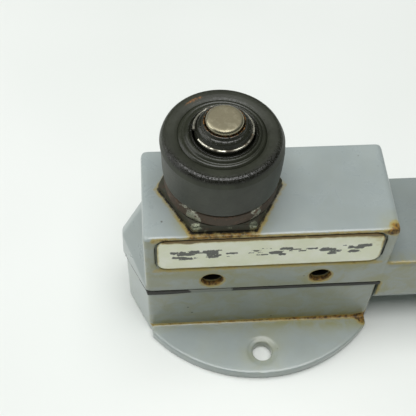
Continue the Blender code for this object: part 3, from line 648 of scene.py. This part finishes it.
def make_clamp_ring():
    """The band at the boot's foot: slightly pitted, with two bright worn places at the front."""
    low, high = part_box("boot_clamp_ring")
    outer, inner = radius_of("boot_clamp_ring"), 11.8 * MM
    profile = rounded([(outer, high.z), (outer, low.z), (inner, low.z), (inner, high.z)], 0.5 * MM, 5)
    mesh = lathe("clamp_ring_band", profile, 160)
    points = points_of(mesh)
    angle = around_axis(points)
    pitting = 1.0 + 0.004 * np.sin(angle * 23) * np.sin(angle * 7 + 2.0)
    draw(mesh, "rubbed", near(np.abs(angle + 2.15), 0.05, 0.28) + near(np.abs(angle + 1.0), 0.02, 0.2))
    centre = np.array((AXIS.x, AXIS.y))
    points[:, :2] = centre + (points[:, :2] - centre) * np.minimum(pitting, 1.0)[:, None]
    move_points(mesh, points)
    finish = old_steel("rust_brown_steel", (0.42, 0.42, 0.34), (0.052, 0.032, 0.015),
                       (0.115, 0.060, 0.027), shine=0.66, spots=0.50)
    new_piece("clamp_ring_band", mesh, finish, "housing", "rusty_steel", "boot_clamp_ring")


def make_boot():
    """The boot's outer wall: a soft barrel whose shoulder is oily at the front, with a few rusty spots."""
    low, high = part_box("boot")
    outer, inner = radius_of("boot"), 9.3 * MM
    top, foot = high.z + RIM_LIFT, low.z + 1.5 * MM
    rim = [(RIM_INNER, top - 0.42 * MM), (11.2 * MM, top - 0.18 * MM), (12.2 * MM, top - 0.03 * MM),
           (13.1 * MM, top), (13.7 * MM, top - 0.16 * MM), (14.15 * MM, top - 0.6 * MM),
           (14.5 * MM, top - 1.4 * MM)]
    barrel = [(outer - 0.28 * MM * t * t, high.z - (1.3 + 9.9 * t) * MM) for t in np.linspace(0.0, 1.0, 5)]
    inside = [(outer - 0.45 * MM, low.z + 0.3 * MM), (outer - 0.8 * MM, low.z), (inner, low.z),
              (inner, foot), (12.0 * MM, foot), (12.0 * MM, high.z - 4.0 * MM),
              (RIM_INNER, high.z - 3.0 * MM)]
    mesh = lathe("boot_wall", rounded(rim + barrel + inside, 0.12 * MM, 2), 200)
    points = points_of(mesh)
    radius, angle, below = from_axis(points), around_axis(points), top - points[:, 2]
    points[:, 0] -= LEAN * near(below, 0.0, 6 * MM)
    move_points(mesh, points)

    shoulder = near(np.hypot(radius - 13.85 * MM, below - 0.35 * MM), 0.5 * MM, 1.15 * MM)
    at_front = near(np.abs(angle + math.pi / 2), 0.8, 1.5)
    draw(mesh, "wet", shoulder * (0.2 + 0.8 * at_front) + 0.35 * near(below, 0.4 * MM, 0.9 * MM))
    back_left = near(np.abs(angle - 2.1), 0.05, 0.55) * near(np.abs(radius - 11.9 * MM), 0.1 * MM, 1.1 * MM)
    under_lip = np.hypot((angle + 1.95) * outer, below - 3.4 * MM)
    low_spot = np.hypot((angle + 1.62) * outer / 1.6, below - 7.9 * MM)
    tall_spot = np.hypot((angle + 1.52) * outer, (below - 6.6 * MM) / 2.5)
    on_side = radius > 13.5 * MM
    draw(mesh, "spots", 0.75 * back_left * (below < 0.6 * MM)
         + on_side * (0.85 * near(under_lip, 0.3 * MM, 1.3 * MM) + 0.8 * near(low_spot, 0.1 * MM, 0.5 * MM)
                      + 0.8 * near(tall_spot, 0.05 * MM, 0.35 * MM)))
    finish = rubber("dusty_rubber", 0.34, 0.50, wet=True)
    new_piece("boot_wall", mesh, finish, "housing", "black_rubber", "boot")


def sink(piece):
    """Gives the piece a mesh of its own."""
    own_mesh(piece)


def make_bellows():
    """Shallow rounded folds that rise from the boot's rim to its neck."""
    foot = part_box("boot_bellows")[0].z
    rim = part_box("boot")[1].z + RIM_LIFT
    outer = RIM_INNER - 0.06 * MM
    folds = [(7.45, 0.75), (7.6, 0.3), (7.9, 0.35), (8.25, 0.62), (8.6, 0.66), (8.9, 0.4), (9.15, 0.0),
             (9.4, -0.05), (9.75, 0.1), (10.05, -0.02), (10.3, -0.3)]
    profile = [(r * MM, rim + z * MM) for r, z in folds]
    profile += [(outer, rim - 0.45 * MM), (outer, foot), (9.6 * MM, foot), (9.6 * MM, rim - 3.2 * MM),
                (8.6 * MM, rim - 2.6 * MM), (7.3 * MM, rim - 2.4 * MM)]
    mesh = lathe("bellows_folds", rounded(profile, 0.3 * MM, 3), 180)
    points = points_of(mesh)
    radius = from_axis(points)
    points[:, 0] -= LEAN * near(RIM_INNER - radius, 0.0, 2.5 * MM)
    move_points(mesh, points)
    draw(mesh, "wet", 0.3 + 0.6 * near(np.abs(radius - 7.6 * MM), 0.3 * MM, 1.0 * MM))
    finish = rubber("fold_rubber", 0.14, 0.36, wet=True)
    piece = new_piece("bellows_folds", mesh, finish, "housing", "black_rubber", "boot_bellows")
    sink(piece)


def make_collar():
    """The boot's neck: a thick lip that slopes up to the plunger's tip, rusty where it meets it."""
    low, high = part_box("boot_collar")
    inner, crown = 4.6 * MM, TIP_TOP - 1.25 * MM
    profile = [(4.75 * MM, crown), (5.1 * MM, crown - 0.08 * MM), (5.35 * MM, crown - 0.75 * MM),
               (5.7 * MM, crown - 0.85 * MM), (6.2 * MM, crown - 1.25 * MM), (6.45 * MM, crown - 2.0 * MM),
               (6.95 * MM, high.z - 0.95 * MM), (7.0 * MM, low.z), (inner, low.z),
               (inner, crown - 0.6 * MM)]
    mesh = lathe("boot_neck", rounded(profile, 0.25 * MM, 3), 144)
    radius = from_axis(points_of(mesh))
    draw(mesh, "wet", near(radius, 6.9 * MM, 7.2 * MM) * 0.6)
    draw(mesh, "spots", 0.50 * near(radius, 4.9 * MM, 5.3 * MM)
         + 0.35 * near(np.abs(radius - 5.6 * MM), 0.1 * MM, 0.6 * MM))
    finish = rubber("neck_rubber", 0.06, 0.30, wet=True)
    new_piece("boot_neck", mesh, finish, "plunger", "black_rubber", "boot_collar")


def wire_along(name, places, thickness):
    """Round wire with closed ends, from (angle, radius, height) places about the plunger's axis."""
    curve = bpy.data.curves.new(name, "CURVE")
    curve.dimensions = "3D"
    curve.bevel_depth = thickness / 2
    curve.bevel_resolution = 4
    curve.use_fill_caps = True
    spline = curve.splines.new("POLY")
    spline.points.add(len(places) - 1)
    for point, (angle, radius, height) in zip(spline.points, places):
        point.co = (AXIS.x + radius * math.cos(angle), AXIS.y + radius * math.sin(angle), height, 1.0)
    draft = bpy.data.objects.new(name, curve)
    bpy.context.scene.collection.objects.link(draft)
    mesh = final_mesh(draft, name)
    mesh.shade_smooth()
    return mesh


def make_snap_ring():
    """A turn of bright wire round the neck, its two ends a little apart at the front left."""
    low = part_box("snap_ring")[0].z
    places = []
    for t in np.linspace(0.0, 1.0, 121):
        angle = math.radians(206 + 337 * t)
        places.append((angle, (6.80 + 0.25 * t ** 3) * MM, low + (0.05 + 0.45 * t ** 3) * MM))
    mesh = wire_along("retaining_wire", places, 0.58 * MM)
    finish = old_steel("wire_steel", (0.74, 0.72, 0.60), (0.060, 0.052, 0.034), (0.14, 0.085, 0.03),
                       shine=0.40, spots=0.60)
    new_piece("retaining_wire", mesh, finish, "plunger", "spring_steel", "snap_ring")


def make_spring(node, radius, thickness, turns=5):
    """An open coil as tall as its CAD node."""
    low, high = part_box(node)
    name = node.replace("spring", "coil")
    rise = high.z - low.z - thickness
    places = []
    for t in np.linspace(0.0, 1.0, turns * 36 + 1):
        places.append((turns * 2 * math.pi * t, radius, low.z + thickness / 2 + rise * t))
    finish = plain_metal(name + "_steel", (0.55, 0.55, 0.54), 0.26, 0.3)
    piece = new_piece(name, wire_along(name, places, thickness), finish, "housing", "spring_steel", node)
    sink(piece)


def worn_plunger_steel():
    """Grey steel with fine pits, and a brown film where "film" is painted."""
    s = Shader("worn_plunger_steel")
    grain = s.noise(0.35 * MM, 4, 0.65)
    film = s.times(s.drawn("film"), s.step(s.noise(1.5 * MM, 5, 0.6), 0.10, 0.55))
    pits = s.step(s.cells(0.9 * MM), 0.2, 0.08)
    steel = s.mix(s.step(grain, 0.3, 0.7), (0.44, 0.41, 0.30), (0.37, 0.34, 0.235))
    steel = s.mix(s.times(film, 0.85), steel, (0.150, 0.132, 0.078))
    s.colour(s.mix(s.times(pits, 0.4), steel, (0.10, 0.07, 0.04)))
    s.metal(s.math("SUBTRACT", 1.0, s.times(film, 0.6)))
    s.roughness(s.plus(s.times(film, 0.30), s.plus(s.times(grain, 0.16), 0.20)))
    s.bump(s.math("SUBTRACT", s.times(grain, 0.5), s.times(pits, 0.3)), 0.03 * MM, 0.6)
    return s.material


def make_plunger():
    """The plunger's tip is domed at its edge, and the rod below carries a guide flange and a bore."""
    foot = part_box("plunger")[0].z
    rod, dome_across, dome_up = 4.45 * MM, 1.15 * MM, 0.95 * MM
    flange, flange_top, flange_foot = 7.0 * MM, 57.3 * MM, 55.8 * MM
    mouth, bore, bore_top = 2.4 * MM, 3.2 * MM, 62 * MM
    dome = [(rod - dome_across * (1 - math.sin(a)), TIP_TOP - dome_up * (1 - math.cos(a)))
            for a in (0.0, 0.3, 0.6, 0.85, 1.1, 1.35, math.pi / 2)]
    profile = [(0.0, TIP_TOP), (2.2 * MM, TIP_TOP), *dome, (rod, flange_top), (flange, flange_top),
               (flange, flange_foot), (rod, flange_foot), (rod, foot), (mouth, foot),
               (mouth, foot + 0.6 * MM), (bore, foot + 0.6 * MM), (bore, bore_top), (0.0, bore_top)]
    mesh = lathe("plunger_rod", profile, 128)
    draw(mesh, "film", near(TIP_TOP - points_of(mesh)[:, 2], 0.05 * MM, 0.25 * MM))
    new_piece("plunger_rod", mesh, worn_plunger_steel(), "plunger", "plated_steel", "plunger")


def finish_cad_nodes():
    """Hidden pieces and fixings keep their CAD shape and take a finish of their own."""
    finishes = {
        "plated_steel": plain_metal("plated_steel_finish", (0.60, 0.58, 0.52), 0.32),
        "spring_steel": plain_metal("spring_steel_finish", (0.55, 0.55, 0.54), 0.26, 0.3),
        "brass": plain_metal("brass_finish", (0.72, 0.52, 0.24), 0.3),
        "contact_silver": plain_metal("silver_finish", (0.86, 0.86, 0.83), 0.22, 0.3),
        "phenolic": moulded("phenolic_finish", (0.045, 0.026, 0.018), 0.42),
        "button_plastic": moulded("button_finish", (0.46, 0.05, 0.035), 0.38),
        "ground_green": moulded("ground_screw_finish", (0.04, 0.24, 0.08), 0.36),
        "fibre_paper": moulded("fibre_finish", (0.33, 0.28, 0.20), 0.75),
        "gasket_rubber": rubber("seal_rubber", 0.1, 0.6),
    }
    slots = {part["node"]: part["material_slot"] for part in frame["record"]["subparts"]}
    for name, item in NODES.items():
        finish = finishes.get(slots[name])
        if item.hide_render or finish is None:
            continue
        item.data.materials.clear()
        item.data.materials.append(finish)


# ---- stage ----------------------------------------------------------------------------------


def make_floor():
    reach, depth = 3.0, -0.02 * MM
    floor_mesh = bpy.data.meshes.new("floor")
    corners = [(-reach, -reach), (reach, -reach), (reach, reach), (-reach, reach)]
    floor_mesh.from_pydata([(x, y, depth) for x, y in corners], [], [(0, 1, 2, 3)])
    floor = bpy.data.objects.new("floor", floor_mesh)
    bpy.context.scene.collection.objects.link(floor)
    s = Shader("pale_floor")
    s.colour(s.mix(s.step(s.noise(0.12, 2), 0.3, 0.7), (0.735, 0.765, 0.735), (0.775, 0.80, 0.775)))
    s.roughness(0.6)
    floor_mesh.materials.append(s.material)


def make_world():
    world = bpy.context.scene.world or bpy.data.worlds.new("studio")
    bpy.context.scene.world = world
    world.use_nodes = True
    background = world.node_tree.nodes["Background"]
    background.inputs["Color"].default_value = (0.93, 1.0, 0.93, 1.0)
    background.inputs["Strength"].default_value = 0.10


def make_lamp(name, place, power):
    """A soft square lamp that faces the switch."""
    light = bpy.data.lights.new(name, "AREA")
    light.shape = "SQUARE"
    light.size = 0.9
    light.energy = power
    lamp = bpy.data.objects.new(name, light)
    lamp.location = place
    aim = Vector((0, 0, 0.03)) - Vector(place)
    lamp.rotation_euler = aim.to_track_quat("-Z", "Y").to_euler()
    bpy.context.scene.collection.objects.link(lamp)


def make_camera():
    """Looks down on the front from a little to the left, slightly rolled."""
    turn, lift, roll = math.radians(-6.07), math.radians(55.17), math.radians(2.84)
    target = Vector((-13.4, 14.8, 20.0)) * MM
    distance = 238.3 * MM
    back = Vector((math.sin(turn) * math.cos(lift), -math.cos(turn) * math.cos(lift), math.sin(lift)))
    right = Vector((math.cos(turn), math.sin(turn), 0.0))
    up = back.cross(right)
    tilted_right = right * math.cos(roll) + up * math.sin(roll)
    tilted_up = up * math.cos(roll) - right * math.sin(roll)
    data = bpy.data.cameras.new("camera")
    data.lens = 70.7
    data.sensor_width = 36.0
    data.clip_start = 0.01
    camera = bpy.data.objects.new("camera", data)
    axes = Matrix((tilted_right, tilted_up, back)).transposed()
    camera.matrix_world = Matrix.Translation(target + back * distance) @ axes.to_4x4()
    bpy.context.scene.collection.objects.link(camera)
    bpy.context.scene.camera = camera
    bpy.context.scene.view_settings.view_transform = "Standard"


grey_enamel = enamel()
make_housing(grey_enamel)
make_base(grey_enamel)
make_gasket()
make_nameplate()
make_bushing()
make_clamp_ring()
make_boot()
make_bellows()
make_collar()
make_snap_ring()
make_plunger()
make_spring("return_spring", 5.9 * MM, 0.9 * MM)
make_spring("overtravel_spring", 2.4 * MM, 0.7 * MM)
finish_cad_nodes()
make_floor()
make_world()
make_lamp("window_left", (-0.95, 0.15, 0.62), 5.3)
make_lamp("ceiling", (0.0, -0.03, 1.15), 13.8)
make_camera()

bpy.context.view_layer.update()
